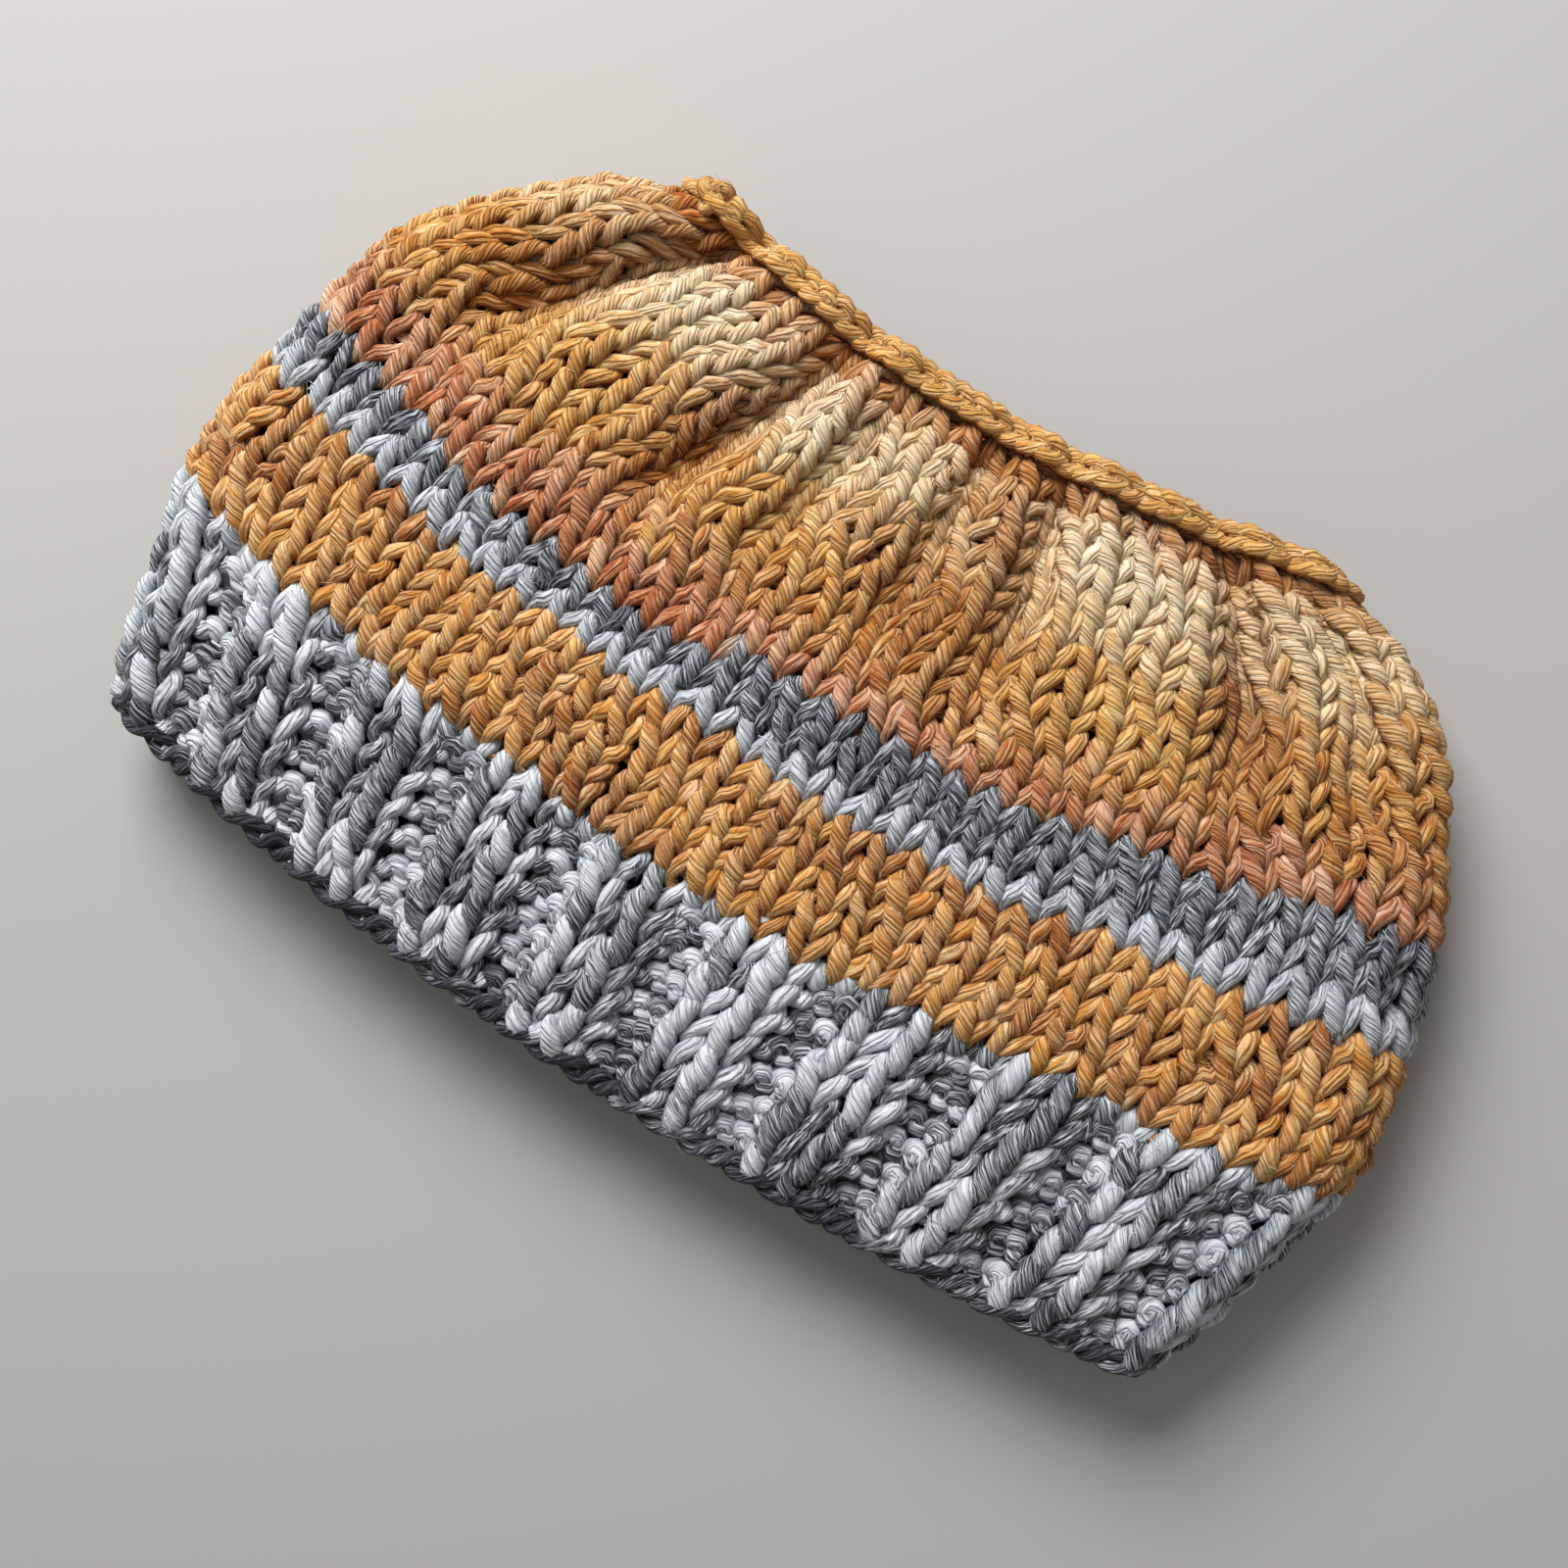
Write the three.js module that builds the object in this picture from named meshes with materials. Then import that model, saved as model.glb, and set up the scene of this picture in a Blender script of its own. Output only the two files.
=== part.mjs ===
// Messy bun beanie: a hat knitted in the round with an opening for a bun at the top, lying flat on
// a surface. Millimetres, +Z up. +X runs along the brim, +Y from the brim to the bun opening, and
// the underside lies on z = 0. Five closed rings of knitted wall follow one another up the hat.
import * as THREE from "three";

// Knit counts, the same for every ring
const RIBS_ROUND = 19;
const RIB_ROWS = 7;
const BAND_ROWS = 5;
const STRIPE_ROWS = 3;
const CROWN_ROWS = 12;
const LINKS_ROUND = 76;

// Rows counted up from the cast-on edge to the foot of each ring
const BAND_FOOT = RIB_ROWS;
const STRIPE_FOOT = BAND_FOOT + BAND_ROWS;
const CROWN_FOOT = STRIPE_FOOT + STRIPE_ROWS;
const CROWN_TOP = CROWN_FOOT + CROWN_ROWS;

// Half of the small gap between two neighbouring rings
const HALF_GAP = 0.15;

// From the line through the brim's two corners to the middle of the hat's length
const CORNERS_TO_CENTRE = 59.6;

// Row lines of the flattened hat, seen from above: y where the line crosses the middle, its left and
// right ends, and the height, wall and rib relief there. y is measured from the brim's corners.
const ROW_LINES = [
  { row: 0, yMiddle: -9.0, xLeft: -101.4, yLeft: 0.2, xRight: 101.6, yRight: 0.4, height: 20.4, wall: 4.2, relief: 0.7 },
  { row: 2, yMiddle: 1.4, xLeft: -105.8, yLeft: 11.4, xRight: 105.4, yRight: 11.4, height: 23.0, wall: 4.8, relief: 1.2 },
  { row: 5, yMiddle: 16.8, xLeft: -109.6, yLeft: 28.8, xRight: 109.8, yRight: 30.0, height: 24.0, wall: 4.8, relief: 1.1 },
  { row: 7, yMiddle: 26.6, xLeft: -112.3, yLeft: 39.6, xRight: 112.2, yRight: 41.2, height: 24.0, wall: 4.6, relief: 0.5 },
  { row: 9, yMiddle: 35.4, xLeft: -112.8, yLeft: 48.8, xRight: 112.7, yRight: 50.6, height: 24.0, wall: 4.6, relief: 0.0 },
  { row: 12, yMiddle: 48.4, xLeft: -111.2, yLeft: 62.8, xRight: 109.6, yRight: 65.2, height: 24.0, wall: 4.6, relief: 0.0 },
  { row: 15, yMiddle: 62.6, xLeft: -107.2, yLeft: 80.4, xRight: 104.8, yRight: 82.2, height: 24.0, wall: 4.6, relief: 0.0 },
  { row: 18, yMiddle: 75.6, xLeft: -103.4, yLeft: 93.4, xRight: 98.8, yRight: 95.4, height: 23.6, wall: 4.6, relief: 0.0 },
  { row: 21, yMiddle: 88.2, xLeft: -94.2, yLeft: 104.6, xRight: 91.4, yRight: 107.6, height: 22.8, wall: 4.6, relief: 0.0 },
  { row: 24, yMiddle: 100.6, xLeft: -81.4, yLeft: 117.0, xRight: 79.8, yRight: 117.4, height: 21.8, wall: 4.6, relief: 0.0 },
  { row: 27, yMiddle: 112.6, xLeft: -68.4, yLeft: 123.6, xRight: 66.6, yRight: 122.8, height: 20.6, wall: 4.2, relief: 0.0 },
];

// Folds of the crown's upper layer: place across the hat at the opening and at the crown's foot as a
// share of the half width, reach to each side, and height (a crease is negative)
const FOLDS = [
  { atOpening: -0.74, atFoot: -0.79, reach: 0.06, height: -4.0 },
  { atOpening: -0.65, atFoot: -0.64, reach: 0.06, height: 1.6 },
  { atOpening: -0.36, atFoot: -0.39, reach: 0.06, height: -3.4 },
  { atOpening: -0.28, atFoot: -0.30, reach: 0.06, height: 1.8 },
  { atOpening: -0.19, atFoot: -0.16, reach: 0.05, height: -1.6 },
  { atOpening: 0.05, atFoot: 0.02, reach: 0.07, height: -2.2 },
  { atOpening: 0.23, atFoot: 0.22, reach: 0.05, height: -2.4 },
  { atOpening: 0.30, atFoot: 0.31, reach: 0.06, height: 1.4 },
  { atOpening: 0.64, atFoot: 0.65, reach: 0.06, height: -2.8 },
  { atOpening: 0.73, atFoot: 0.74, reach: 0.05, height: 1.0 },
  { atOpening: 0.83, atFoot: 0.84, reach: 0.05, height: -1.4 },
];
const FOLDS_FADE_ROWS = 7;

// Small gathers where the crown is drawn in under the edging
const GATHERS_ROUND = 24;
const GATHER_DEPTH = 1.3;
const GATHER_ROWS = 5;

// Share of a rib's pitch that is raised, the share taken by each flank, and the ribs' shift round the
// hat from a rib that would start at the right fold, in ribs
const RIB_RAISED = 0.70;
const RIB_FLANK = 0.10;
const RIB_SHIFT = 0.41;

// The row lines are lowest a little to the left of the middle, at this share of the half width
const LOWEST_ACROSS = -0.08;

// The bound-off edging: a rope of chain links round the opening, standing on the crown's top row
const EDGING = { radius: 3.2, insetAcross: 4.0, insetHeight: 0.6, bulge: 0.1, sides: 8 };

// Facets of each ring: steps round the hat and row lines up it
const RIB_PLACES = [0.0, 0.10, 0.20, 0.5, 0.80, 0.90];
const PLAIN_STEPS = 96;
const BRIM_ROWS_SHOWN = [0, 0.5, 2, 4, 5.6, BAND_FOOT];
const BAND_ROWS_SHOWN = [BAND_FOOT, 8.6, 10.3, STRIPE_FOOT];
const STRIPE_ROWS_SHOWN = [STRIPE_FOOT, 13.5, CROWN_FOOT];
const CROWN_ROWS_SHOWN = [CROWN_FOOT, 16.6, 18.2, 19.8, 21.4, 23, 24.4, 25.8, CROWN_TOP];

const clamp = (value, low, high) => Math.min(Math.max(value, low), high);
const smooth = (t) => t * t * (3 - 2 * t);

// Smooth value of one column of ROW_LINES at any row: cubic pieces with the slopes of their neighbours
function alongRows(column, row) {
  const last = ROW_LINES.length - 1;
  let i = 0;
  while (i < last - 1 && ROW_LINES[i + 1].row <= row) i += 1;
  const slope = (k) => {
    const before = ROW_LINES[Math.max(k - 1, 0)];
    const after = ROW_LINES[Math.min(k + 1, last)];
    return (after[column] - before[column]) / (after.row - before.row);
  };
  const a = ROW_LINES[i];
  const b = ROW_LINES[i + 1];
  const span = b.row - a.row;
  const t = clamp((row - a.row) / span, 0, 1);
  const rise = b[column] - a[column];
  const bend = (slope(i) * span - rise) * (1 - t) - (slope(i + 1) * span - rise) * t;
  return a[column] + rise * t + t * (1 - t) * bend;
}

// The flattened loop that a row line follows, cut across the hat: two straight layers joined by two
// half circles. Share 0 is the right fold, 0.25 the middle of the upper layer, 0.5 the left fold.
function flattenedLoop(share, straight, radius) {
  const quarter = (Math.PI / 2) * radius;
  const length = 4 * quarter + 4 * straight;
  let left = (((share % 1) + 1) % 1) * length;
  const take = (most) => {
    const taken = clamp(left, 0, most);
    left -= taken;
    return taken;
  };
  const firstArc = take(quarter);
  const upper = take(2 * straight);
  const leftArc = take(2 * quarter);
  const lower = take(2 * straight);
  const lastArc = take(quarter);
  return { across: straight - upper + lower, angle: (firstArc + leftArc + lastArc) / radius };
}

// Height above the brim's corners of a row line, at a share of the half width across the hat
function rowLineY(row, acrossShare) {
  const beside = acrossShare - LOWEST_ACROSS;
  const end = beside < 0 ? "yLeft" : "yRight";
  const reach = beside / (1 + Math.sign(beside) * -LOWEST_ACROSS);
  const low = alongRows("yMiddle", row);
  return low + (alongRows(end, row) - low) * reach ** 2;
}

// Height of one rib's relief at a share of the hat's round: 1 on the raised knit, -1 in the gutter
function ribRelief(share) {
  const place = Math.abs(((share * RIBS_ROUND + RIB_SHIFT + 1) % 1) - 0.5);
  const edge = RIB_RAISED / 2;
  return 1 - 2 * smooth(clamp((place - edge + RIB_FLANK / 2) / RIB_FLANK, 0, 1));
}

// Sum of the crown's folds at a place across the hat and a row
function foldHeight(acrossShare, row) {
  const up = clamp((row - CROWN_FOOT) / CROWN_ROWS, 0, 1);
  const fade = smooth(clamp((row - CROWN_FOOT + 2) / FOLDS_FADE_ROWS, 0, 1));
  let height = 0;
  for (const fold of FOLDS) {
    const centre = fold.atFoot + (fold.atOpening - fold.atFoot) * up;
    height += fold.height * Math.exp(-(((acrossShare - centre) / fold.reach) ** 2));
  }
  return height * fade;
}

// A point of the knitted wall: share of the way round, row up the hat, and side, which is 1 on the
// outer face, -1 on the inner face and 0 midway
function wallPoint(share, row, side) {
  const at = (column) => alongRows(column, row);
  const halfHeight = at("height") / 2;
  const wall = at("wall");
  const relief = Math.max(at("relief"), 0);
  const halfWidth = (at("xRight") - at("xLeft")) / 2;
  const middleX = (at("xRight") + at("xLeft")) / 2;
  const straight = halfWidth - halfHeight;
  const midRadius = halfHeight - wall / 2 - relief;
  const { across, angle } = flattenedLoop(share, straight, midRadius);
  const gatherFade = smooth(clamp((row - CROWN_TOP + GATHER_ROWS) / GATHER_ROWS, 0, 1));
  const gather = gatherFade * GATHER_DEPTH * (0.5 - 0.5 * Math.cos(2 * Math.PI * GATHERS_ROUND * share));
  const radius = midRadius + side * wall / 2 + relief * ribRelief(share) - gather;
  const x = across + radius * Math.cos(angle);
  const y = rowLineY(row, x / halfWidth);
  const lift = foldHeight(x / halfWidth, row) * Math.max(Math.sin(angle), 0);
  return [x + middleX, y - CORNERS_TO_CENTRE, halfHeight + radius * Math.sin(angle) + lift];
}

// Places round the hat: evenly spaced, or at the edges and middles of the ribs
const evenShares = Array.from({ length: PLAIN_STEPS }, (_, step) => step / PLAIN_STEPS);
const ribShares = Array.from({ length: RIBS_ROUND }, (_, rib) => rib).flatMap((rib) =>
  RIB_PLACES.map((place) => (rib + place + 1 - RIB_SHIFT) / RIBS_ROUND));

// A closed ring of wall between two row lines: outer face, inner face and the two edges
function wallRing(rowsShown, shares) {
  const foot = rowsShown[0];
  const top = rowsShown[rowsShown.length - 1];
  const rowLength = (alongRows("yMiddle", top) - alongRows("yMiddle", foot)) / (top - foot);
  const rows = rowsShown.map((row) => clamp(row, foot + HALF_GAP / rowLength, top - HALF_GAP / rowLength));
  const profile = [...rows.map((row) => ({ row, side: 1 })), ...rows.map((row) => ({ row, side: -1 })).reverse()];
  return closedGrid(profile.length, shares.length, (i, j) => wallPoint(shares[j], profile[i].row, profile[i].side));
}

// Closed skin of a ring: a grid that joins up with itself both ways
function closedGrid(profileSteps, roundSteps, pointAt) {
  const positions = [];
  const triangles = [];
  for (let i = 0; i < profileSteps; i += 1) {
    for (let j = 0; j < roundSteps; j += 1) positions.push(...pointAt(i, j));
  }
  const index = (i, j) => (i % profileSteps) * roundSteps + (j % roundSteps);
  for (let i = 0; i < profileSteps; i += 1) {
    for (let j = 0; j < roundSteps; j += 1) {
      const corners = [index(i, j), index(i, j + 1), index(i + 1, j + 1), index(i + 1, j)];
      triangles.push(corners[0], corners[2], corners[1], corners[0], corners[3], corners[2]);
    }
  }
  const geometry = new THREE.BufferGeometry();
  geometry.setAttribute("position", new THREE.Float32BufferAttribute(positions, 3));
  geometry.setIndex(triangles);
  geometry.computeVertexNormals();
  return geometry;
}

// The edging's rope: a round section carried along a flattened loop, a little fatter at each link
function edgingRope() {
  const at = (column) => alongRows(column, CROWN_TOP);
  const halfWidth = (at("xRight") - at("xLeft")) / 2;
  const middleX = (at("xRight") + at("xLeft")) / 2;
  const halfHeight = at("height") / 2 - EDGING.insetHeight;
  const straight = halfWidth - EDGING.insetAcross - halfHeight;
  const steps = 2 * LINKS_ROUND;
  return closedGrid(EDGING.sides, steps, (i, j) => {
    const { across, angle } = flattenedLoop(j / steps, straight, halfHeight - EDGING.radius);
    const turn = (2 * Math.PI * i) / EDGING.sides;
    const thick = EDGING.radius * (1 + EDGING.bulge * (j % 2 === 0 ? 1 : -1) - EDGING.bulge);
    const radius = halfHeight - EDGING.radius + thick * Math.cos(turn);
    const x = across + radius * Math.cos(angle);
    const y = rowLineY(CROWN_TOP, x / halfWidth) + 3 * HALF_GAP + EDGING.radius + thick * Math.sin(turn);
    return [x + middleX, y - CORNERS_TO_CENTRE, halfHeight + radius * Math.sin(angle)];
  });
}

// Knit finishes: matt wool in the colours of each ring
const WOOL_ROUGHNESS = 0.95;
const wool = (color) => new THREE.MeshStandardMaterial({ color, roughness: WOOL_ROUGHNESS, metalness: 0 });

const hat = new THREE.Group();
function addRing(name, geometry, color) {
  const mesh = new THREE.Mesh(geometry, wool(color));
  mesh.name = name;
  hat.add(mesh);
}

// Ribbed brim: knit two, purl two, in marled light and dark grey
addRing("ribbed_brim", wallRing(BRIM_ROWS_SHOWN, ribShares), 0xa9adb2);

// Ochre band of plain knit above the brim
addRing("ochre_band", wallRing(BAND_ROWS_SHOWN, evenShares), 0xc58b3a);

// Grey stripe between the band and the crown
addRing("grey_stripe", wallRing(STRIPE_ROWS_SHOWN, evenShares), 0x7d8086);

// Crown: folded and gathered in to the bun opening
addRing("crown", wallRing(CROWN_ROWS_SHOWN, evenShares), 0xc9a066);

// Bound-off chain edging round the bun opening
addRing("bun_edging", edgingRope(), 0xc9923f);

export default hat;
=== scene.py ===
"""Messy bun beanie, knitted in the round and lying flat.

Every stitch is real yarn, and each row of knitting is one closed strand. In each stitch its middle line
swings to and fro twice along the row, rises and falls once like a cosine, and comes forward in its two
legs, or back in a purl, so that it passes through the loop of the row below. A second formula lays this
on the hat: at each row a flattened loop of two straight layers and two half circles, with ribs, gathers
and creases raised or sunk along its normal, and folds raised or sunk on the upper layer. A round section
is swept along the strand, and short fibres stand off it. The strands carry the wool's colours, deepened
as painted shade on their inner sides, and the material draws fibres, plies and flecks on a map that
follows the twist, with painted shade in the grooves between the plies.

Strands cut into each other where they cross, by about 1 mm or more at half of the crossings, where real
yarn would be pressed flat. In a few uneven places they run right through each other.

Metres, +X along the brim, +Y to the bun opening, +Z up. The hat's own sizes are in millimetres.
"""
import math

import bpy
import numpy as np
from mathutils import Matrix, Vector


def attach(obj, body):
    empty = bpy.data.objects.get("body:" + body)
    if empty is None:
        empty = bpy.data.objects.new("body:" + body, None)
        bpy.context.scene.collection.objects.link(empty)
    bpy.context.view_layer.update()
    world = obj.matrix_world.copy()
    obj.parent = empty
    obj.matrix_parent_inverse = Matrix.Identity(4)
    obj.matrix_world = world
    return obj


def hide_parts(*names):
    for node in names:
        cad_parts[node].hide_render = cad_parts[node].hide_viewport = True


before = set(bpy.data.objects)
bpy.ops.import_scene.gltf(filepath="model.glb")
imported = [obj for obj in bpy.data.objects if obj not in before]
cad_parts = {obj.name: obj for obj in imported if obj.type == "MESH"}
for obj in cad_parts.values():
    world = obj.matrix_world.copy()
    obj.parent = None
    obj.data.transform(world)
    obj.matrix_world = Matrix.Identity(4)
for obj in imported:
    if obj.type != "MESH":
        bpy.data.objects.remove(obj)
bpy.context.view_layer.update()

# Ribbed brim. Knit two, purl two, in a softly spun marl of light grey and charcoal wool. It is worked
# upwards from a cast-on edge, and its pairs of knit columns stand up while the purl pairs sink back.

MM = 0.001
RIBS_ROUND = 19
RIB_STITCHES = 4
STITCHES = RIBS_ROUND * RIB_STITCHES
CORNERS_TO_CENTRE = 59.6
LOWEST_ACROSS = -0.08

# Row lines of the flattened hat: y at the line's lowest point, which is a little left of the middle, its
# left and right ends, and the height, wall and rib relief there. y is measured from the brim's corners.
ROW_COLUMNS = ("row", "y_middle", "x_left", "y_left", "x_right", "y_right", "height", "wall", "relief")
ROW_LINES = dict(zip(ROW_COLUMNS, np.array([
    (0, -9.0, -101.4, 0.2, 101.6, 0.4, 20.4, 4.2, 0.7),
    (2, 1.4, -105.8, 11.4, 105.4, 11.4, 23.0, 4.8, 1.2),
    (5, 16.8, -109.6, 28.8, 109.8, 30.0, 24.0, 4.8, 1.1),
    (7, 26.6, -112.3, 39.6, 112.2, 41.2, 24.0, 4.6, 0.5),
    (9, 35.4, -112.8, 48.8, 112.7, 50.6, 24.0, 4.6, 0.0),
    (12, 48.4, -111.2, 62.8, 109.6, 65.2, 24.0, 4.6, 0.0),
    (15, 62.6, -107.2, 80.4, 104.8, 82.2, 24.0, 4.6, 0.0),
    (18, 75.6, -103.4, 93.4, 98.8, 95.4, 23.6, 4.6, 0.0),
    (21, 88.2, -94.2, 104.6, 91.4, 107.6, 22.8, 4.6, 0.0),
    (24, 100.6, -81.4, 117.0, 79.8, 117.4, 21.8, 4.6, 0.0),
    (27, 112.6, -68.4, 123.6, 66.6, 122.8, 20.6, 4.2, 0.0),
]).T))


def smooth(t):
    """A step from 0 to 1 that starts and ends level: three t squared less two t cubed."""
    t = np.clip(t, 0.0, 1.0)
    return t * t * (3.0 - 2.0 * t)


def along_rows(column, row):
    """Value of a column of the table at any row: cubic pieces with the slopes of their neighbours."""
    rows, values = ROW_LINES["row"], ROW_LINES[column]
    line = np.arange(len(rows))
    before, after = np.maximum(line - 1, 0), np.minimum(line + 1, len(rows) - 1)
    slopes = (values[after] - values[before]) / (rows[after] - rows[before])
    i = np.clip(np.searchsorted(rows, row, side="right") - 1, 0, len(rows) - 2)
    span, rise = rows[i + 1] - rows[i], values[i + 1] - values[i]
    t = (row - rows[i]) / span
    inside = np.clip(t, 0.0, 1.0)
    bend = (slopes[i] * span - rise) * (1 - inside) - (slopes[i + 1] * span - rise) * inside
    return values[i] + rise * t + inside * (1 - inside) * bend


def flattened_loop(share, straight, radius):
    """Place across and angle on two straight layers joined by two half circles, at a share of the way
    round. Share 0 is the right fold, 0.25 the middle of the upper layer and 0.5 the left fold."""
    quarter = np.pi / 2 * radius
    along = np.mod(share, 1.0) * (4 * quarter + 4 * straight)
    first_arc = np.clip(along, 0, quarter)
    upper = np.clip(along - quarter, 0, 2 * straight)
    left_arc = np.clip(along - quarter - 2 * straight, 0, 2 * quarter)
    lower = np.clip(along - 3 * quarter - 2 * straight, 0, 2 * straight)
    last_arc = np.clip(along - 3 * quarter - 4 * straight, 0, quarter)
    return straight - upper + lower, (first_arc + left_arc + last_arc) / radius


def on_upper(share):
    """Share of the way round of a place, or of the place above it if it is on the lower layer."""
    share = np.mod(share, 1.0)
    return np.minimum(share, 1 - share)


# Folds of the upper layer: place across at the opening and at the crown's foot and reach to each side,
# as shares of the half width, and height in millimetres, negative where they sink. They grow over some
# rows from a little below the crown.
CROWN_FOOT = 15
CROWN_TOP = 27
FOLD_COLUMNS = ("at_opening", "at_foot", "reach", "height")
FOLDS = dict(zip(FOLD_COLUMNS, np.array([
    (-0.74, -0.79, 0.06, -4.0),
    (-0.65, -0.64, 0.06, 1.6),
    (-0.36, -0.39, 0.06, -3.4),
    (-0.28, -0.30, 0.06, 1.8),
    (-0.19, -0.16, 0.05, -1.6),
    (0.05, 0.02, 0.07, -2.2),
    (0.23, 0.22, 0.05, -2.4),
    (0.30, 0.31, 0.06, 1.4),
    (0.64, 0.65, 0.06, -2.8),
    (0.73, 0.74, 0.05, 1.0),
    (0.83, 0.84, 0.05, -1.4),
]).T))
FOLDS_BELOW_CROWN = 2
FOLDS_FADE_ROWS = 7


def fold_height(across, row):
    """Sum of one bell curve for each fold across the hat, fading out towards the crown's foot."""
    up = np.clip((row - CROWN_FOOT) / (CROWN_TOP - CROWN_FOOT), 0, 1)[..., None]
    centre = FOLDS["at_foot"] + (FOLDS["at_opening"] - FOLDS["at_foot"]) * up
    bells = FOLDS["height"] * np.exp(-(((across[..., None] - centre) / FOLDS["reach"]) ** 2))
    return bells.sum(axis=-1) * smooth((row - CROWN_FOOT + FOLDS_BELOW_CROWN) / FOLDS_FADE_ROWS)


# Creases that the crown's columns run into as the hat narrows: share of the way round on the upper
# layer, and share of the lost width that each takes in. The lower layer has the same ones. Their
# grooves deepen over some rows and are nearly gone where the edging holds the top row.
CREASE_COLUMNS = ("share", "takes")
CREASES = dict(zip(CREASE_COLUMNS, np.array([
    (0.430, 0.22),
    (0.339, 0.23),
    (0.297, 0.05),
    (0.240, 0.08),
    (0.194, 0.13),
    (0.095, 0.19),
    (0.048, 0.10),
]).T))
CREASE_HALF = 0.0068
CREASE_DEPTH = 4.2
CREASE_ROWS = 6
CREASE_HELD = 0.85
CREASE_HELD_ROWS = (1, 1.3)


def crease_groove(share, row):
    """Depth of the grooves at the creases: a narrow bell curve for each, deeper towards the opening."""
    beside = (on_upper(share)[..., None] - CREASES["share"]) / CREASE_HALF
    bells = CREASES["takes"] / CREASES["takes"].max() * np.exp(-(beside ** 2))
    below_top, rows = CREASE_HELD_ROWS
    fade = smooth((row - CROWN_FOOT) / CREASE_ROWS)
    fade = fade * (1 - CREASE_HELD * smooth((row - CROWN_TOP + below_top) / rows))
    return CREASE_DEPTH * np.sqrt(bells).sum(axis=-1) * fade


# Length of one layer below the crown in millimetres, and the search for a column of the crown: how far
# to each side it looks, as a share of the way round, and how often it halves that
FULL_LENGTH = 218.5
COLUMN_SHIFT = 0.2
HALVINGS = 18


def crown_share(even, row):
    """Share of the way round of a column of the crown. The columns keep their width while the hat grows
    narrower, so part of them runs into the creases: solved for the share by halving."""
    height, width = along_rows("height", row), along_rows("x_right", row) - along_rows("x_left", row)
    length = np.pi * (height - along_rows("wall", row)) / 2 + width - height
    lost = np.clip(1 - length / FULL_LENGTH, 0, 1)
    low, high = even - COLUMN_SHIFT, even + COLUMN_SHIFT
    for halving in range(HALVINGS):
        middle = (low + high) / 2
        whole = np.floor(middle)
        part = middle - whole
        past = np.minimum(part, 1 - part)[..., None] - CREASES["share"]
        taken = (CREASES["takes"] * smooth(past / (2 * CREASE_HALF) + 0.5)).sum(axis=-1) / 2
        taken = whole + np.where(part < 0.5, taken, 1 - taken)
        short = (1 - lost) * middle + lost * taken < even
        low, high = np.where(short, middle, low), np.where(short, high, middle)
    return (low + high) / 2


# The ribs, measured in ribs: where the first one is, and where the slope into the gutter starts from a
# rib's middle and how wide it is
RIB_SHIFT = 0.41
RIB_TOP = 0.30
RIB_SLOPE = 0.10


def from_rib(share):
    """Distance from the middle of the nearest raised pair, in ribs: 0 there, 0.5 in mid gutter."""
    return np.abs(np.mod(share * RIBS_ROUND + RIB_SHIFT, 1.0) - 0.5)


def rib_relief(share):
    """1 on a raised pair of knit columns, -1 in the gutter between two, with short slopes."""
    return 1 - 2 * smooth((from_rib(share) - RIB_TOP) / RIB_SLOPE)


# Small gathers under the edging, and how far the edging draws in the rows under it
GATHERS_ROUND = 24
GATHER_DEPTH = 1.3
GATHER_ROWS = 5
EDGE_DIP = 1.1
EDGE_DIP_ROWS = (1.9, 1.4)


def wall_point(share, row, out):
    """Point of the knitted wall, out millimetres from its middle, and the direction outwards: a flattened
    loop at each row, moved along its normal by the ribs, gathers, creases and dip, and up by the folds.
    y follows the row's line, a parabola from its lowest point to each end."""
    row = np.asarray(row, dtype=float)
    half_height = along_rows("height", row) / 2
    wall = along_rows("wall", row)
    relief = np.maximum(along_rows("relief", row), 0)
    half_width = (along_rows("x_right", row) - along_rows("x_left", row)) / 2
    middle_x = (along_rows("x_right", row) + along_rows("x_left", row)) / 2
    mid_radius = half_height - wall / 2 - relief
    across, angle = flattened_loop(share, half_width - half_height, mid_radius)
    gather = GATHER_DEPTH * smooth((row - CROWN_TOP + GATHER_ROWS) / GATHER_ROWS)
    gather = gather * (0.5 - 0.5 * np.cos(2 * np.pi * GATHERS_ROUND * share))
    below_top, rows = EDGE_DIP_ROWS
    dip = EDGE_DIP * smooth((row - CROWN_TOP + below_top) / rows)
    radius = mid_radius + out + relief * rib_relief(share) - gather - dip - crease_groove(share, row)
    x = across + radius * np.cos(angle)
    beside = x / half_width - LOWEST_ACROSS
    low = along_rows("y_middle", row)
    end = np.where(beside < 0, along_rows("y_left", row), along_rows("y_right", row))
    y = low + (end - low) * (beside / (1 - np.sign(beside) * LOWEST_ACROSS)) ** 2
    lift = fold_height(x / half_width, row) * np.maximum(np.sin(angle), 0)
    z = half_height + radius * np.sin(angle) + lift
    normal = np.stack([np.cos(angle), np.zeros_like(angle), np.sin(angle)], axis=-1)
    return np.stack([x + middle_x, y - CORNERS_TO_CENTRE, z], axis=-1), normal


# The yarn: a soft thick strand, pinched in its bends. Its fibres wind round it, tighter in the left leg
# of each stitch, where working the loop twists it up, than in the right leg, where it untwists
YARN_RADIUS = 1.58
BEND_PINCH = 0.28
TWIST_RATE = 0.46
TWIST_SWING = 0.80
PLY_WIDTH = 1.15
SIDES = 8
STEPS_PER_STITCH = 20

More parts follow.
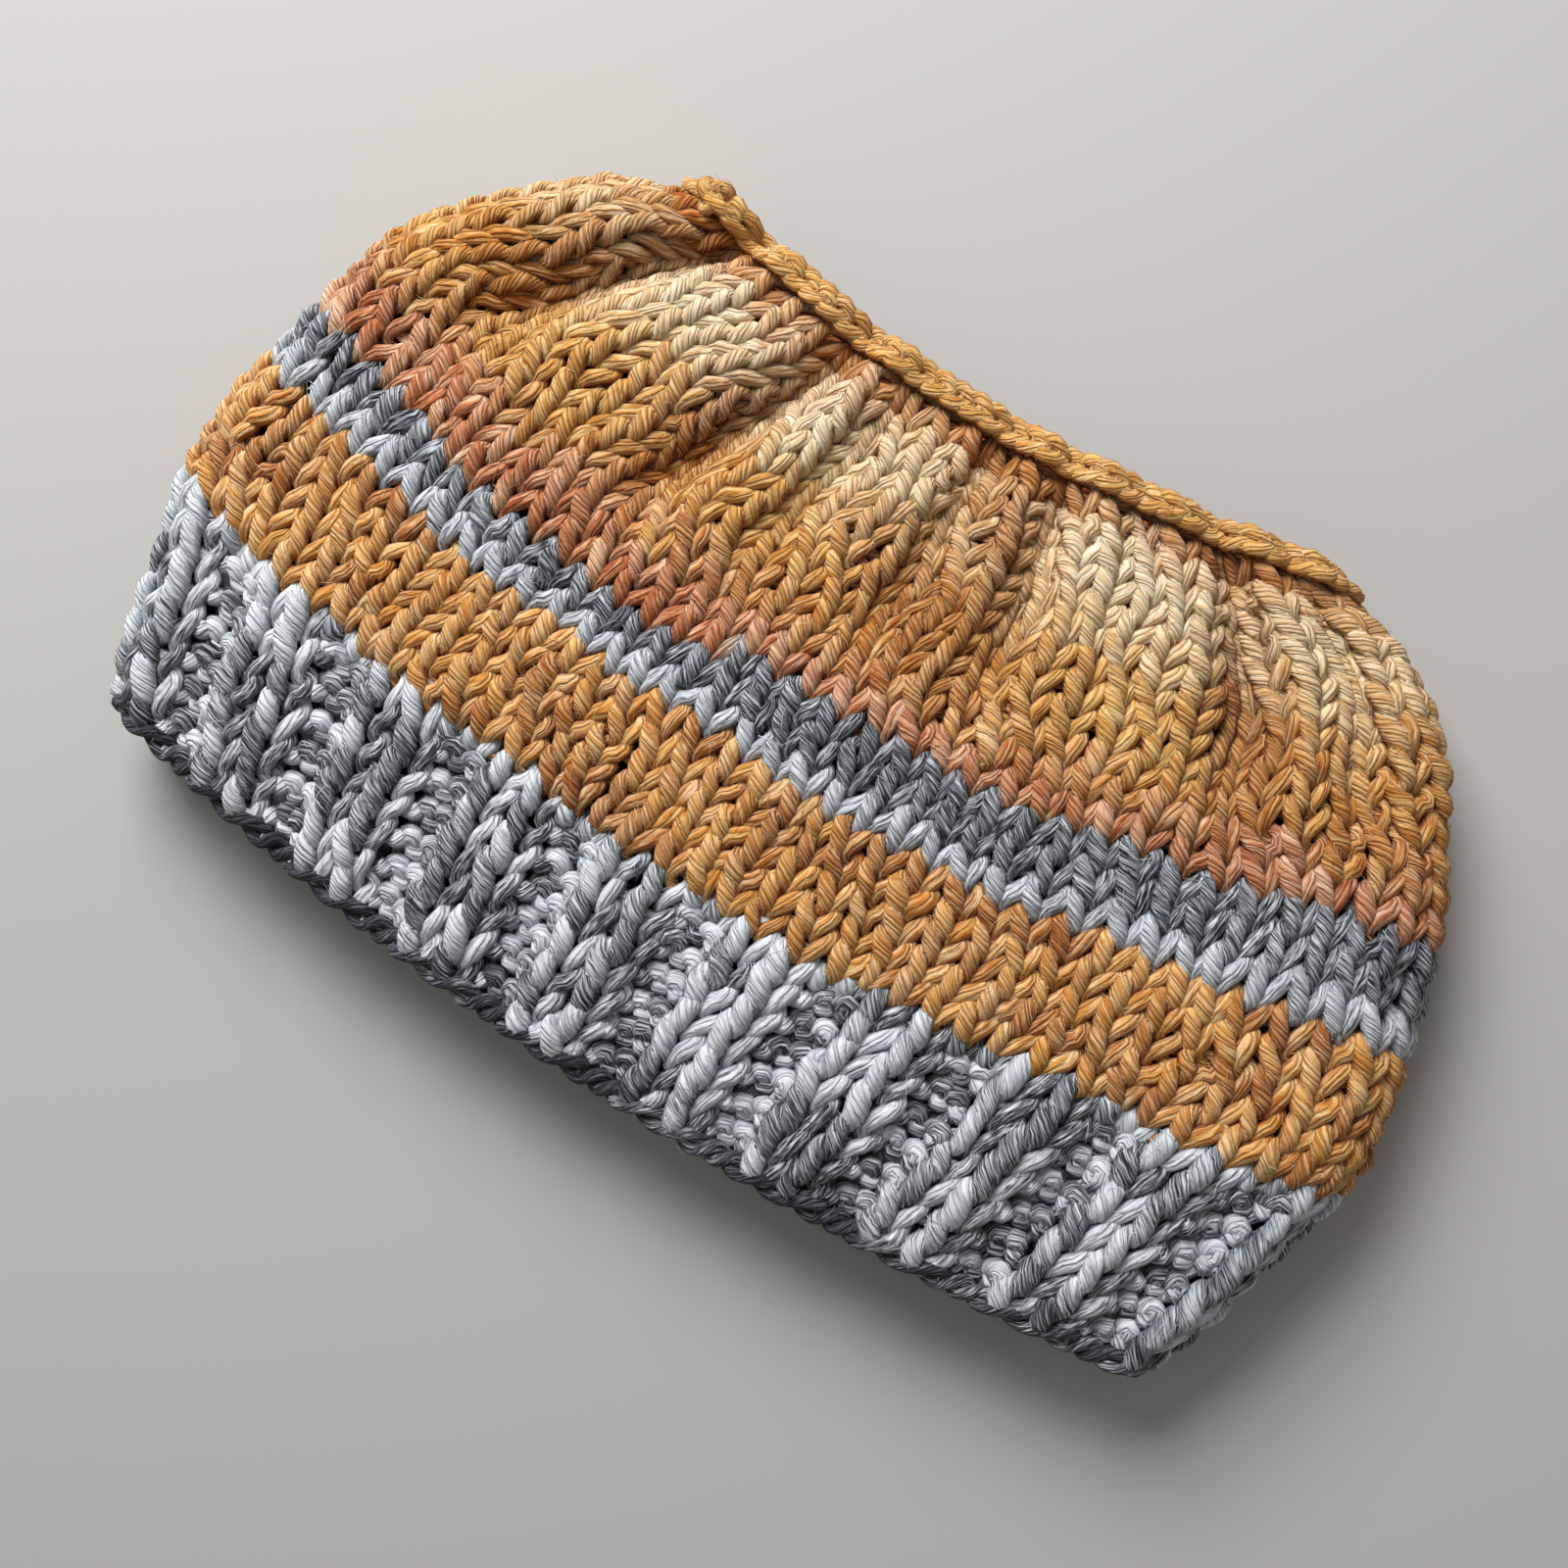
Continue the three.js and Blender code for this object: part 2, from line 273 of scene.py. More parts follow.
# The loop: how far it rises (in rows) and stands out (in millimetres), in the plain knit and in the rib
# how far it swings across and leans over (in stitches), how far the left leg is in front (in
# millimetres) and how much thicker that leg is, and how far the whole loop and its foot sink back
LOOP_RISE = 0.86
LOOP_OUT = 0.95
PLAIN_LOOP = {"swing": 0.262, "shear": 0.07, "left_out": 0.20, "swell": 0.07}
RIB_LOOP = {"swing": 0.215, "shear": 0.05, "left_out": 0.40, "swell": 0.13}
LOOP_SINK = 0.50
FOOT_IN = 0.75

# The rib: a raised pair is round across and its yarn is fuller. The purls between sink back, and only
# their heads and sinkers show, as short bars that are fat in the middle
PURL_RISE = 0.84
PURL_SINK = 1.0
PURL_SLOPE = 0.12
PURL_LEGS_BACK = 1.1
PURL_YARN = 0.90
PURL_BAR = 0.20
PURL_SINKERS_BACK = 1.0
RIB_YARN = 1.08
RIB_ROUND = 1.25
RIB_HALF = 0.35

# Places in one rib as counted in even columns and as they lie, because the knit columns are wide and
# the purl columns narrow. They even out from this row on, over so many rows
COUNTED_PLACES = (0, 0.25, 0.5, 0.75, 1)
KNITTED_PLACES = (0, 0.165, 0.5, 0.835, 1)
EVEN_FROM_ROW = 5.5
EVEN_OUT_ROWS = 3


def loop_shape(swing, shear):
    """One stitch of a row's strand from the middle of one sinker to the next: it swings to and fro
    twice across, rises and falls once like a cosine, and comes forward in its two legs. The last value
    is 1 in the middle of the left leg and -1 in the middle of the right one."""
    t = (np.arange(STEPS_PER_STITCH) + 0.5) / STEPS_PER_STITCH
    up = -LOOP_RISE * np.cos(2 * np.pi * t)
    across = t - 0.5 + swing * np.sin(4 * np.pi * t) + shear * up
    out = -LOOP_OUT * np.cos(4 * np.pi * t)
    return across, up, out, np.sin(2 * np.pi * t)


def column_share(column, row):
    """Share of the way round of a place counted in columns."""
    ribs = column / STITCHES * RIBS_ROUND
    whole = np.floor(ribs)
    warped = whole + np.interp(ribs - whole, COUNTED_PLACES, KNITTED_PLACES)
    rib_share = 1 - smooth((row - EVEN_FROM_ROW) / EVEN_OUT_ROWS)
    share = (ribs + rib_share * (warped - ribs) - RIB_SHIFT) / RIBS_ROUND
    return crown_share(share, row) if np.max(row) > CROWN_FOOT else share


def swept_strand(points, normals, radius, twist):
    """Skin of a closed strand, a circle across it at each point: corners, the directions from the middle
    to each corner, and faces, with the map of each face's corners in millimetres, round the yarn and
    turning with its twist, and along it. The last value is the length of yarn up to each point."""
    tangent = np.roll(points, -1, axis=0) - np.roll(points, 1, axis=0)
    tangent /= np.linalg.norm(tangent, axis=1, keepdims=True)
    side = np.cross(tangent, normals)
    side /= np.linalg.norm(side, axis=1, keepdims=True)
    outward = np.cross(side, tangent)
    steps = np.linalg.norm(np.roll(points, -1, axis=0) - points, axis=1)
    length = np.concatenate([[0], np.cumsum(steps)])
    turned = np.concatenate([[0], np.cumsum(steps * twist)])
    angle = 2 * np.pi * np.arange(SIDES + 1) / SIDES - np.pi
    cos, sin = np.cos(angle[:-1])[:, None], np.sin(angle[:-1])[:, None]
    section = cos * outward[:, None, :] + sin * side[:, None, :]
    corners = points[:, None, :] + (radius * np.ones(len(points)))[:, None, None] * section
    round_yarn = YARN_RADIUS * (angle[None, :] + turned[:, None])
    fibres = np.stack([round_yarn, np.broadcast_to(length[:, None], round_yarn.shape)], axis=-1)
    maps = np.stack([fibres[:-1, :-1], fibres[1:, :-1], fibres[1:, 1:], fibres[:-1, 1:]], axis=2)
    i, j = np.meshgrid(np.arange(len(points)), np.arange(SIDES), indexing="ij")
    next_i, next_j = (i + 1) % len(points), (j + 1) % SIDES
    faces = np.stack(
        [i * SIDES + j, next_i * SIDES + j, next_i * SIDES + next_j, i * SIDES + next_j], axis=-1
    )
    return corners, section, faces.reshape(-1, 4), maps.reshape(-1, 4, 2), length[:-1]


# Loose fibres: width, least and greatest length, how far the tips lift off, how far round the yarn
# they start and curl and how far they point askew (in radians), and how many stand on a millimetre
FIBRE_POINTS = 4
FIBRE_WIDTH = 0.12
FIBRE_TAPER = 0.75
FIBRE_LENGTHS = (1.6, 4.6)
FIBRE_ROOT = 0.04
FIBRE_LIFT = 1.25
FIBRE_SPREAD = 1.1
FIBRE_CURL = 1.0
FIBRES_ASKEW = 0.45
FIBRES_PER_MM = 0.85
FIBRE_MAP_SPAN = 400
FIBRE_SEED = 7000


def loose_fibres(points, section, radius, twist, count, seed):
    """Flat strips for the short fibres that have worked loose from a strand. Each starts in the face of
    the yarn, runs on the way the fibres wind, a little askew, and ends clear of it. Gives the strips'
    corners, faces and maps, and the point of the strand where each one starts."""
    chance = np.random.default_rng(seed)
    outward, side = section[:, SIDES // 2], section[:, SIDES * 3 // 4]
    radius, twist = radius * np.ones(len(points)), twist * np.ones(len(points))
    step = np.linalg.norm(np.roll(points, -1, axis=0) - points, axis=1).mean()
    t = np.linspace(0, 1, FIBRE_POINTS)
    first = chance.random(count) * len(points)
    start = np.floor(first).astype(int) % len(points)
    wind = (np.arctan(radius * twist)[start] + chance.normal(0, FIBRES_ASKEW, count))[:, None]
    length = chance.uniform(*FIBRE_LENGTHS, (count, 1))
    along = first[:, None] + t * length * np.cos(wind) / step
    turn = chance.normal(0, FIBRE_SPREAD, (count, 1)) - t * length * np.sin(wind) / radius[start][:, None]
    turn = turn + chance.normal(0, FIBRE_CURL, (count, 1)) * t ** 2
    i = np.floor(along).astype(int)
    part = (along - i)[..., None]
    i, next_i = i % len(points), (i + 1) % len(points)
    middle, out, beside = (a[i] * (1 - part) + a[next_i] * part for a in (points, outward, side))
    radial = np.cos(turn)[..., None] * out + np.sin(turn)[..., None] * beside
    lift = radius[i] - FIBRE_ROOT + FIBRE_LIFT * chance.random((count, 1)) ** 2 * t ** 2
    middle = middle + lift[..., None] * radial
    across = np.cross(np.gradient(middle, axis=1), radial)
    across /= np.linalg.norm(across, axis=-1, keepdims=True) + 1e-9
    half = (FIBRE_WIDTH / 2 * (1 - FIBRE_TAPER * (2 * t - 1) ** 2))[:, None] * across
    corners = np.stack([middle - half, middle + half], axis=2).reshape(-1, 3)
    strip = np.arange(FIBRE_POINTS - 1)[:, None] * 2 + np.array([0, 1, 3, 2])
    faces = (np.arange(count)[:, None, None] * 2 * FIBRE_POINTS + strip).reshape(-1, 4)
    maps = np.repeat(chance.random((count, 2)) * FIBRE_MAP_SPAN, (FIBRE_POINTS - 1) * 4, axis=0)
    return corners, faces, maps.reshape(-1, 4, 2), start


# Painted shade down between the strands: the power that deepens the colour on a strand's inner side, and
# how far out the deepening starts. Each row's map starts elsewhere in the noise of the material.
PAINTED_SHADE_POWER = 3.0
PAINTED_SHADE_FROM = 0.72
MAP_STEP = np.array([37.0, 61.0])
FLOOR_CLEAR = 0.05


def spun(points, normals, radius, twist, colour_of, row, share, fibres_per_mm):
    """A strand and its loose fibres, each as corners, faces, maps, wool colours and fleck colours, kept
    above the floor. The strand's colours are raised to a power that grows from its outer side to its
    inner side, as painted shade down between the strands."""
    points = points.copy()
    points[:, 2] = np.maximum(points[:, 2], radius)
    corners, section, faces, maps, length = swept_strand(points, normals, radius, twist)
    wool, fleck = colour_of(row, share, length)
    outer = -np.cos(2 * np.pi * np.arange(SIDES) / SIDES)
    # Painted shade: the colours deepen from the strand's outer side to its inner side, down between strands
    power = np.tile(1 + (PAINTED_SHADE_POWER - 1) * smooth(PAINTED_SHADE_FROM - outer), len(points))[:, None]
    fleck_sides = np.repeat(fleck, SIDES, axis=0)
    fleck_sides[:, :3] **= power
    yarn = (
        corners.reshape(-1, 3), faces, maps + MAP_STEP * row,
        np.repeat(wool, SIDES, axis=0) ** power, fleck_sides,
    )
    count = int(fibres_per_mm * length[-1])
    corners, faces, maps, start = loose_fibres(points, section, radius, twist, count, FIBRE_SEED + row)
    corners[:, 2] = np.maximum(corners[:, 2], FLOOR_CLEAR)
    fuzz = (
        corners, faces, maps,
        np.repeat(wool[start], 2 * FIBRE_POINTS, axis=0), np.repeat(fleck[start], 2 * FIBRE_POINTS, axis=0),
    )
    return yarn, fuzz


def mesh_piece(name, parts, material, node):
    """A mesh object joined from parts, each with its corners in millimetres, its faces, the map of each
    face's corners, and for each corner its wool colour and the colour and share of its flecks. On the
    strands these colours carry painted shade on their inner sides."""
    starts = np.cumsum([0] + [len(part[0]) for part in parts[:-1]])
    corners, faces, maps, wool, fleck = (list(column) for column in zip(*parts))
    faces = np.concatenate([own + start for own, start in zip(faces, starts)])
    corners, maps, wool, fleck = map(np.concatenate, (corners, maps, wool, fleck))
    mesh = bpy.data.meshes.new(name)
    mesh.vertices.add(len(corners))
    mesh.vertices.foreach_set("co", (corners * MM).ravel())
    mesh.loops.add(faces.size)
    mesh.loops.foreach_set("vertex_index", faces.ravel())
    mesh.polygons.add(len(faces))
    mesh.polygons.foreach_set("loop_start", np.arange(len(faces)) * faces.shape[1])
    mesh.polygons.foreach_set("use_smooth", np.ones(len(faces), dtype=bool))
    mesh.uv_layers.new(name="fibres").data.foreach_set("uv", maps.ravel())
    full = np.concatenate([wool, np.ones((len(wool), 1))], axis=1)
    mesh.attributes.new("wool", "FLOAT_COLOR", "POINT").data.foreach_set("color", full.ravel())
    mesh.attributes.new("fleck", "FLOAT_COLOR", "POINT").data.foreach_set("color", fleck.ravel())
    mesh.update(calc_edges=True)
    mesh.validate()
    mesh.materials.append(material)
    piece = bpy.data.objects.new(name, mesh)
    bpy.context.scene.collection.objects.link(piece)
    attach(piece, "root")
    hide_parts(node)
    return piece


# Hand knitting is never quite even. Each stitch is moved, sized and tilted a little at random, more
# inwards than outwards, and slow waves move whole columns and rows: size (in stitches and rows), waves
# round the hat, and turn in radians for each row and at the start
UNEVEN_ACROSS = 0.09
UNEVEN_UP = 0.09
UNEVEN_OUT = 0.45
UNEVEN_INWARDS = 0.7
UNEVEN_RADIUS = 0.09
UNEVEN_LEAN = 0.08
UNEVEN_SEED = 1000
COLUMN_WAVES = ((0.13, 8, 0.86, 0.0), (0.09, 14, -1.28, 2.2))
ROW_WAVES = ((0.13, 5, 0.21, 1.7), (0.10, 13, -0.33, 0.4))
CALM_EDGE_ROWS = 4
CROWN_STRAY = 0.6
CROWN_STRAY_ROWS = 5
RIB_HOLD = 0.6


def wander(share, row):
    """How far the columns and the rows stray, in stitches and rows: two slow waves for each, level at
    the two edges of the hat and stronger in the crown."""
    fade = smooth(row / CALM_EDGE_ROWS) * smooth((CROWN_TOP - row) / CALM_EDGE_ROWS)
    fade = fade * (1 + CROWN_STRAY * smooth((row - CROWN_FOOT) / CROWN_STRAY_ROWS))

    def waves(table):
        """Sum of the sine waves in a table."""
        turn = 2 * np.pi * share
        return sum(size * np.sin(count * turn + row * slant + start) for size, count, slant, start in table)

    return waves(COLUMN_WAVES) * fade, waves(ROW_WAVES) * fade


def knit_row(row, own, above, foot):
    """The strand of one row: its points, outward directions, radius, twist and places, stitch by stitch
    towards the right. own and above say for each stitch of this row and the next if it is knit, 1, or
    purl, -1. A stitch's foot goes through the row below as its own kind says, and its head is held by
    the kind of the stitch above. foot is the share of its rise that it reaches down."""
    columns = np.arange(STITCHES)[::-1]
    own, above = own[columns, None], above[columns, None]
    ribbed = np.any(own < 0)
    loop = RIB_LOOP if ribbed else PLAIN_LOOP
    across, up, out, left = loop_shape(loop["swing"], loop["shear"])
    chance = np.random.default_rng(UNEVEN_SEED + row)
    each = (STITCHES, 1)
    middle = np.sin(np.pi * (np.arange(STEPS_PER_STITCH) + 0.5) / STEPS_PER_STITCH)
    rise = up * np.where(own < 0, PURL_RISE, 1.0) * np.where(up < 0, foot, 1.0)
    level = row + 0.5 + rise + UNEVEN_UP * chance.normal(size=each) * (up > 0)
    place = columns[:, None] + 0.5 - across + UNEVEN_ACROSS * chance.normal(size=each) * middle
    place = place + UNEVEN_LEAN * chance.normal(size=each) * up * middle
    stray_across, stray_up = wander(place / STITCHES, level)
    place = place + stray_across * (1 - RIB_HOLD * ribbed)
    level = level + stray_up
    share = column_share(place, level)
    kind = own + (above - own) * smooth(0.5 + up / LOOP_RISE)
    knit, purl = np.maximum(kind, 0), np.maximum(-kind, 0)
    sinkers_back = PURL_SINKERS_BACK * smooth(-up / LOOP_RISE)
    legs_back = purl * (PURL_LEGS_BACK * (0.5 + 0.5 * out / LOOP_OUT) + sinkers_back)
    out = (out + loop["left_out"] * left) * kind - LOOP_SINK + FOOT_IN * np.minimum(up, 0) * knit
    out = out - legs_back + UNEVEN_OUT * (chance.random(size=each) - UNEVEN_INWARDS) * middle
    bend = (up / LOOP_RISE) ** 2
    thick = 1 + (loop["swell"] * left - BEND_PINCH * bend) * (1 - purl)
    thick = thick + (PURL_YARN - 1 + PURL_BAR * bend) * purl
    if ribbed:
        beside = from_rib(share)
        out = out - PURL_SINK * smooth((beside - RIB_TOP) / PURL_SLOPE)
        out = out - RIB_ROUND * (beside / RIB_HALF) ** 2 * (beside < RIB_HALF) * knit
        thick = thick * (1 + (RIB_YARN - 1) * (1 - purl))
    radius = YARN_RADIUS * (thick + UNEVEN_RADIUS * chance.normal(size=each) * np.abs(left))
    points, normals = wall_point(share.ravel(), level.ravel(), out.ravel())
    twist = TWIST_RATE * (1 + TWIST_SWING * np.broadcast_to(left, share.shape))
    return points, normals, radius.ravel(), twist.ravel(), share.ravel()


KNIT = np.ones(STITCHES)
FIRST_ROW_FOOT = 0.5


def knit_rows(rows, colour_of, own=KNIT):
    """The strands of a range of rows that are all of one kind, with plain knit above the last, each
    with its loose fibres. The feet of the hat's first row are short."""
    strands = []
    for row in rows:
        above = KNIT if row == rows[-1] else own
        foot = FIRST_ROW_FOOT if row == 0 else 1.0
        points, normals, radius, twist, share = knit_row(row, own, above, foot)
        strands.append(spun(points, normals, radius, twist, colour_of, row, share, FIBRES_PER_MM))
    return strands


# Wool settings: powers that deepen and pale the colour, how far the flecks blur, and how clear the painted
# shade in the grooves between the plies is
MARLED = {"deep": 1.45, "pale": 0.72, "blur": 0.19, "painted_ply_shade": 0.60}

# Noises on the fibre map: scale, stretch along the yarn and detail
BUNDLES = (1.3, 0.40, 2.0)
HAIRS = (4.2, 0.24, 1.0)
PLY_WAVER = (0.7, 0.30, 0.0)
PLY_SHADE_CLEARNESS = (0.35, 0.70, 1.0)
FLECKS = (2.6, 0.16, 1.0)
HAIR_SHARE = 0.38
WAVER_WIDTH = 1.5
PLY_FLANK = 0.42
TONE_FROM = 0.40
TONE_TO = 0.62
PLY_RELIEF = 0.70
FIBRE_RELIEF = 0.0005


def wool_material(name, deep, pale, blur, painted_ply_shade):
    """Matt wool. Noise drawn out along the fibre map is the fibres, in bundles and single hairs. With painted
    shade in the grooves between the plies, clear in some places and vague in others, it deepens and pales
    the colour between two powers, and it picks out the flecks, blurred into the wool, and raises the fibres."""
    material = bpy.data.materials.new(name)
    material.use_nodes = True
    nodes, links = material.node_tree.nodes, material.node_tree.links
    shader = nodes["Principled BSDF"]
    place = nodes.new("ShaderNodeUVMap")
    place.uv_map = "fibres"

    def drawn_out(scale, stretch, detail):
        """Noise on the fibre map, drawn out along the yarn."""
        mapping = nodes.new("ShaderNodeMapping")
        mapping.inputs["Scale"].default_value = (1.0, stretch, 1.0)
        links.new(place.outputs["UV"], mapping.inputs["Vector"])
        noise = nodes.new("ShaderNodeTexNoise")
        noise.noise_dimensions = "2D"
        noise.inputs["Scale"].default_value = scale
        noise.inputs["Detail"].default_value = detail
        noise.inputs["Roughness"].default_value = 0.6
        noise.inputs["Distortion"].default_value = 0.1
        links.new(mapping.outputs["Vector"], noise.inputs["Vector"])
        return noise.outputs["Fac"]

    def sum_of(operation, *values):
        """Result of a sum whose values are numbers or the outputs of other nodes."""
        node = nodes.new("ShaderNodeMath")
        node.operation = operation
        for socket, value in zip(node.inputs, values):
            if isinstance(value, float):
                socket.default_value = value
            else:
                links.new(value, socket)
        return node.outputs["Value"]

    def ranged(value, given, wanted=(0.0, 1.0), curve="LINEAR"):
        """A value moved from a given range to the wanted one."""
        node = nodes.new("ShaderNodeMapRange")
        node.interpolation_type = curve
        for socket, number in zip(("From Min", "From Max", "To Min", "To Max"), given + wanted):
            node.inputs[socket].default_value = number
        links.new(value, node.inputs["Value"])
        return node.outputs["Result"]

    fibres = nodes.new("ShaderNodeMix")
    fibres.inputs["Factor"].default_value = HAIR_SHARE
    links.new(drawn_out(*BUNDLES), fibres.inputs["A"])
    links.new(drawn_out(*HAIRS), fibres.inputs["B"])
    fibres = fibres.outputs["Result"]
    across = nodes.new("ShaderNodeSeparateXYZ")
    links.new(place.outputs["UV"], across.inputs["Vector"])
    waver = sum_of("MULTIPLY_ADD", drawn_out(*PLY_WAVER), WAVER_WIDTH, across.outputs["X"])
    ply = sum_of("PINGPONG", waver, PLY_WIDTH / 2)
    ply = ranged(ply, (0.0, PLY_WIDTH * PLY_FLANK), curve="SMOOTHERSTEP")
    wool = nodes.new("ShaderNodeAttribute")
    wool.attribute_name = "wool"
    fleck = nodes.new("ShaderNodeAttribute")
    fleck.attribute_name = "fleck"
    over = sum_of("SUBTRACT", fleck.outputs["Alpha"], drawn_out(*FLECKS))
    pick = nodes.new("ShaderNodeMix")
    pick.data_type = "RGBA"
    links.new(ranged(over, (-blur, blur)), pick.inputs["Factor"])
    links.new(wool.outputs["Color"], pick.inputs["A"])
    links.new(fleck.outputs["Color"], pick.inputs["B"])
    # Painted shade in the grooves between the plies: it deepens the colour through the gamma below
    clear = sum_of("MULTIPLY", drawn_out(*PLY_SHADE_CLEARNESS), painted_ply_shade)
    together = sum_of("MULTIPLY_ADD", ply, clear, fibres)
    tone = nodes.new("ShaderNodeGamma")
    links.new(pick.outputs["Result"], tone.inputs["Color"])
    links.new(ranged(together, (TONE_FROM, TONE_TO + painted_ply_shade / 2), (deep, pale)), tone.inputs["Gamma"])
    links.new(tone.outputs["Color"], shader.inputs["Base Color"])
    bump = nodes.new("ShaderNodeBump")
    bump.inputs["Strength"].default_value = 1.0
    bump.inputs["Distance"].default_value = FIBRE_RELIEF
    links.new(sum_of("MULTIPLY_ADD", ply, PLY_RELIEF, fibres), bump.inputs["Height"])
    links.new(bump.outputs["Normal"], shader.inputs["Normal"])
    shader.inputs["Roughness"].default_value = 0.85
    shader.inputs["Specular IOR Level"].default_value = 0.1
    shader.inputs["Subsurface Weight"].default_value = 0.25
    shader.inputs["Subsurface Radius"].default_value = (1.0, 0.5, 0.25)
    shader.inputs["Subsurface Scale"].default_value = 0.0009
    shader.inputs["Sheen Weight"].default_value = 0.08
    shader.inputs["Sheen Roughness"].default_value = 0.5
    return material


NOISE_KNOTS = 4096


def yarn_noise(length, row, reach, row_step, seed):
    """Smooth random values between 0 and 1 along the yarn: seeded values reach millimetres apart, eased
    between, and taken row_step values further on for each row."""
    values = np.random.default_rng(seed).random(NOISE_KNOTS)
    x = np.mod(length / reach + row_step * row, NOISE_KNOTS)
    i = np.floor(x).astype(int)
    return values[i] + (values[(i + 1) % NOISE_KNOTS] - values[i]) * smooth(x - i)


def linear(code):
    """Linear colour of a six-figure sRGB code."""
    srgb = np.array([int(code[k:k + 2], 16) for k in (0, 2, 4)]) / 255
    return np.where(srgb <= 0.04045, srgb / 12.92, ((srgb + 0.055) / 1.055) ** 2.4)


def fleck_share(least, more, power, noise):
    """Share of the fibres that are flecks: the least, and more with the noise to a power."""
    return least + more * noise ** power


def with_share(colour, share):
    """A fleck colour for each point, with the share of fibres that it takes."""
    return np.concatenate([np.broadcast_to(colour, (len(share), 3)), np.asarray(share)[:, None]], axis=1)


# Shares of flecks are given here and below as the least, how much more, and the power of the noise
RIB_ROWS = 7
MARL_LIGHT = linear("d3d8dd")
MARL_DARK = linear("43434a")
MARL_DARK_SHARES = (0.21, 0.38, 1)
MARL_SMALL_PART = 0.3
MARL_DARK_FROM, MARL_DARK_REACH = 0.28, 0.42
# More charcoal in the first row and the cast-on: partly darker marl, partly painted shade at the brim's edge
MARL_DARKER_FIRST_ROW_AND_SHADE = 0.10
MARL_DARKER_CAST_ON_AND_SHADE = 0.32


def marl(row, share, length):
    """Light wool with charcoal fibres, few or many for a few stitches at a time, and more of them in the
    first row and at the cast-on edge, partly for the darker marl there and partly as painted shade at the
    brim's edge."""
    patch = yarn_noise(length, row, reach=26, row_step=331, seed=11)
    small = yarn_noise(length, row, reach=7, row_step=57, seed=12)
    both = (1 - MARL_SMALL_PART) * patch + MARL_SMALL_PART * small
    dark = fleck_share(*MARL_DARK_SHARES, smooth((both - MARL_DARK_FROM) / MARL_DARK_REACH))
    dark = dark + MARL_DARKER_FIRST_ROW_AND_SHADE * (row < 1) + MARL_DARKER_CAST_ON_AND_SHADE * (row < 0)
    return np.broadcast_to(MARL_LIGHT, (len(length), 3)), with_share(MARL_DARK, dark)


PURL_COLUMNS = (0, 3)
rib_kind = np.where(np.isin(np.arange(STITCHES) % RIB_STITCHES, PURL_COLUMNS), -1.0, 1.0)
brim = knit_rows(range(RIB_ROWS), marl, rib_kind)
marled_wool = wool_material("marled wool", **MARLED)
mesh_piece("ribbed_brim_knit", [yarn for yarn, fuzz in brim], marled_wool, "ribbed_brim")

# Cast-on edge of the brim: two strands of the same marl laid round each other, half a turn a stitch.
# They swing round each other up the hat (in rows) and out from it (in millimetres).

CAST_ON_RADIUS = 1.15
CAST_ON_TWIST = 0.5
CAST_ON_STEPS = 12
CAST_ON_RISE = 0.22
CAST_ON_OUT = 0.95
CAST_ON_SINK = 0.3
turns = np.arange(STITCHES * CAST_ON_STEPS) / CAST_ON_STEPS
cast_on = []
for strand in range(2):
    turn = np.pi * turns + np.pi * strand
    points, normals = wall_point(
        column_share(turns, np.zeros(len(turns))),
        CAST_ON_RISE + CAST_ON_RISE * np.cos(turn), CAST_ON_OUT * np.sin(turn) - CAST_ON_SINK,
    )
    radius = np.full(len(points), CAST_ON_RADIUS)
    cast_on.append(spun(
        points[::-1], normals[::-1], radius, CAST_ON_TWIST, marl, -1 - strand, turns, FIBRES_PER_MM
    ))
cast_on_yarn, brim_fuzz = [yarn for yarn, fuzz in cast_on], [fuzz for yarn, fuzz in brim + cast_on]
mesh_piece("ribbed_brim_cast_on", cast_on_yarn, marled_wool, "ribbed_brim")
mesh_piece("ribbed_brim_fuzz", brim_fuzz, marled_wool, "ribbed_brim")

# Ochre band. Five rows of plain knit in mustard wool, each stitch a V of two legs.

BAND_FOOT = RIB_ROWS
BAND_ROWS = 5
DYED = {"deep": 1.60, "pale": 0.76, "blur": 0.46, "painted_ply_shade": 1.15}
OCHRE = linear("cb9248")
AMBER = linear("a4632a")
AMBER_FROM, AMBER_REACH = 0.35, 0.55
OCHRE_LIGHT = linear("eccd9c")
OCHRE_LIGHT_SHARES = (0.16, 0.42, 1.5)


def blend(first, second, share):
    """Colour between two colours, for an array of shares."""
    return first + (second - first) * np.asarray(share)[:, None]


def ochre(row, share, length):
    """Mustard that drifts to amber every few stitches, with a few pale fibres."""
    drift = yarn_noise(length, row, reach=34, row_step=173, seed=21)
    wool = blend(OCHRE, AMBER, smooth((drift - AMBER_FROM) / AMBER_REACH))
    pale = fleck_share(*OCHRE_LIGHT_SHARES, yarn_noise(length, row, reach=6.5, row_step=91, seed=22))
    return wool, with_share(OCHRE_LIGHT, pale)


band = knit_rows(range(BAND_FOOT, BAND_FOOT + BAND_ROWS), ochre)
ochre_wool = wool_material("ochre wool", **DYED)
mesh_piece("ochre_band_knit", [yarn for yarn, fuzz in band], ochre_wool, "ochre_band")
mesh_piece("ochre_band_fuzz", [fuzz for yarn, fuzz in band], ochre_wool, "ochre_band")

# Grey stripe. Three rows of plain knit: light grey below, two rows of heathered charcoal above. The
# yarn changes to coral part of the way round the third row.

